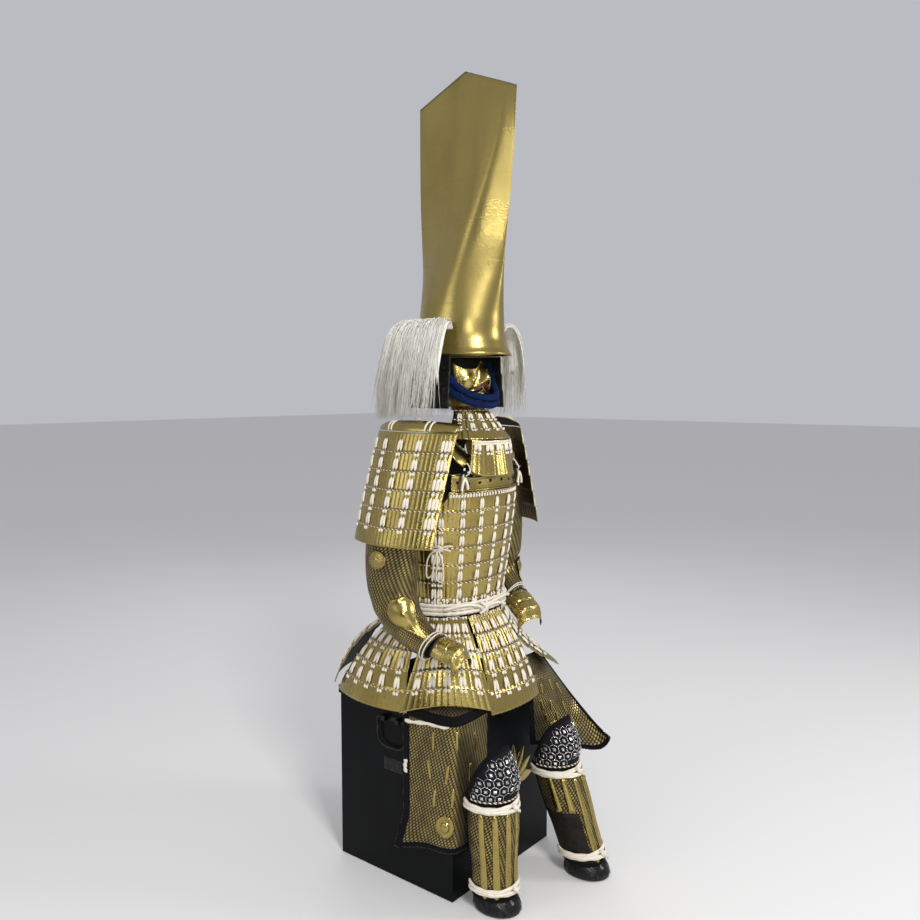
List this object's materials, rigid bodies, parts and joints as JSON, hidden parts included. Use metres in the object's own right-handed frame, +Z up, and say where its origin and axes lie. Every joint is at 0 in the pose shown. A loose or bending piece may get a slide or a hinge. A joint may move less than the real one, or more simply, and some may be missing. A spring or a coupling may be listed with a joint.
{
  "type": "samurai armour on an armour chest",
  "caption": "Gilt lamellar armour in a seated wearing pose, hollow, with a tall flat helmet, half mask, mail sleeves and leg guards, on a black lacquered chest with swinging side handles.",
  "frame": {"origin": "middle of the chest's underside, on the floor", "axes": "+Z up; the armour faces -Y; +X is towards the wearer's left"},
  "size_m": [0.6488, 0.7676, 2.113],
  "materials": {
    "gold_leaf": "gold leaf over lacquer, satin with bright ridges",
    "gold_mail": "gilt mail and splints sewn on dark brown cloth",
    "black_lacquer": "black lacquer over wood, satin",
    "black_iron": "black lacquer over iron",
    "navy_cloth": "soft padded cotton",
    "white_hair": "coarse white animal hair",
    "white_cord": "twisted and flat braided cord",
    "knee_brocade": "quilted cloth with metal studs",
    "black_fur": "short glossy black fur"
  },
  "bodies": {
    "suit": {"helmet": "gold_leaf", "mask": "gold_leaf", "throat_guard": "gold_leaf", "throat_flap": "gold_leaf", "cuirass_front": "gold_leaf", "cuirass_back": "gold_leaf", "breast_plate": "gold_leaf", "back_plate": "gold_leaf", "shoulder_strap_right": "gold_leaf", "shoulder_strap_left": "gold_leaf", "neck_collar": "gold_leaf", "shoulder_guard_right": "gold_leaf", "shoulder_guard_left": "gold_leaf", "guard_crown_right": "gold_leaf", "guard_crown_left": "gold_leaf", "hand_guard_right": "gold_leaf", "hand_guard_left": "gold_leaf", "elbow_plate_right": "gold_leaf", "elbow_plate_left": "gold_leaf", "tasset_front": "gold_leaf", "tasset_front_right": "gold_leaf", "tasset_front_left": "gold_leaf", "tasset_side_right": "gold_leaf", "tasset_side_left": "gold_leaf", "tasset_back_right": "gold_leaf", "tasset_back_left": "gold_leaf", "sleeve_right": "gold_mail", "sleeve_left": "gold_mail", "thigh_guard_right": "gold_mail", "thigh_guard_left": "gold_mail", "shin_guard_right": "gold_mail", "shin_guard_left": "gold_mail", "chest_body": "black_lacquer", "chest_lid": "black_lacquer", "neck_guard": "black_iron", "handle_bracket_right": "black_iron", "handle_bracket_left": "black_iron", "chin_cord_upper": "navy_cloth", "chin_cord_lower": "navy_cloth", "hair": "white_hair", "waist_cord_1": "white_cord", "waist_cord_2": "white_cord", "waist_cord_3": "white_cord", "guard_cord_right": "white_cord", "guard_cord_left": "white_cord", "strap_cord_right": "white_cord", "strap_cord_left": "white_cord", "wrist_cord_right": "white_cord", "wrist_cord_left": "white_cord", "shin_tie_upper_right": "white_cord", "shin_tie_upper_left": "white_cord", "shin_tie_lower_right": "white_cord", "shin_tie_lower_left": "white_cord", "knee_guard_right": "knee_brocade", "knee_guard_left": "knee_brocade", "shoe_right": "black_fur", "shoe_left": "black_fur"},
    "handle_right": {"handle_right": "black_iron"},
    "handle_left": {"handle_left": "black_iron"}
  },
  "joints": [
    {"name": "handle_right_swing", "type": "hinge", "parent": "suit", "child": "handle_right", "pos_m": [-0.2242, 0, 0.43], "axis": [0, 1, 0], "range_deg": [0, 80]},
    {"name": "handle_left_swing", "type": "hinge", "parent": "suit", "child": "handle_left", "pos_m": [0.2242, 0, 0.43], "axis": [0, -1, 0], "range_deg": [0, 80]}
  ]
}
